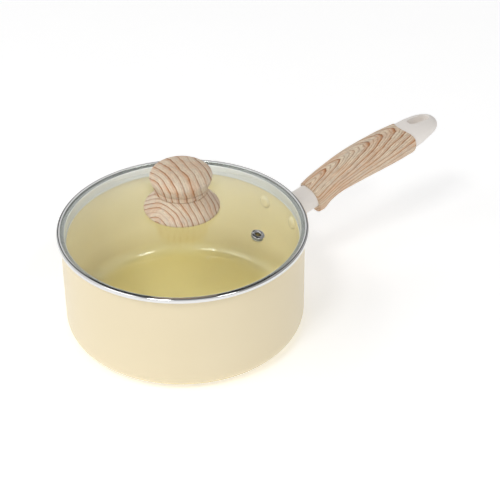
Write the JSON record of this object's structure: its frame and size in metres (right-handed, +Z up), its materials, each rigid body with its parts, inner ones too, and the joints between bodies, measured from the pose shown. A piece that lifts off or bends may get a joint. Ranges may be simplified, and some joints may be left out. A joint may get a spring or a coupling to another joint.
{
  "type": "saucepan with glass lid",
  "caption": "Small round saucepan with a straight wall, a long wood-finish handle with a hanging loop, and a domed glass lid with a steel rim, steam vent and turned knob.",
  "frame": {"origin": "centre of the base's underside, where the pan stands", "axes": "+Z up, +X from the pan's axis along the handle, +Y completes the right-handed frame"},
  "size_m": [0.3432, 0.191, 0.1398],
  "materials": {
    "cream_coating": "satin",
    "cream_resin": "satin",
    "wood_finish": "satin",
    "polished_steel": "polished",
    "steel": "satin",
    "clear_glass": "polished",
    "brass": "satin",
    "silicone": "matte"
  },
  "bodies": {
    "pan": {"pan_body": "cream_coating", "induction_plate": "steel", "handle_bracket": "steel", "handle_neck": "cream_resin", "handle_grip": "wood_finish", "handle_tail": "cream_resin", "tie_bolt": "steel", "bolt_washer": "steel", "rivet_left": "cream_coating", "rivet_right": "cream_coating"},
    "lid": {"lid_glass": "clear_glass", "lid_rim": "polished_steel", "vent_eyelet": "polished_steel", "vent_washer": "steel", "knob_base": "wood_finish", "knob_ball": "wood_finish", "knob_insert": "brass", "knob_screw": "steel", "knob_washer": "steel", "knob_gasket_upper": "silicone", "knob_gasket_lower": "silicone"}
  },
  "joints": [
    {"name": "lid_lift", "type": "slide", "parent": "pan", "child": "lid", "axis": [0, 0, 1], "range_m": [0, 0.06]}
  ]
}
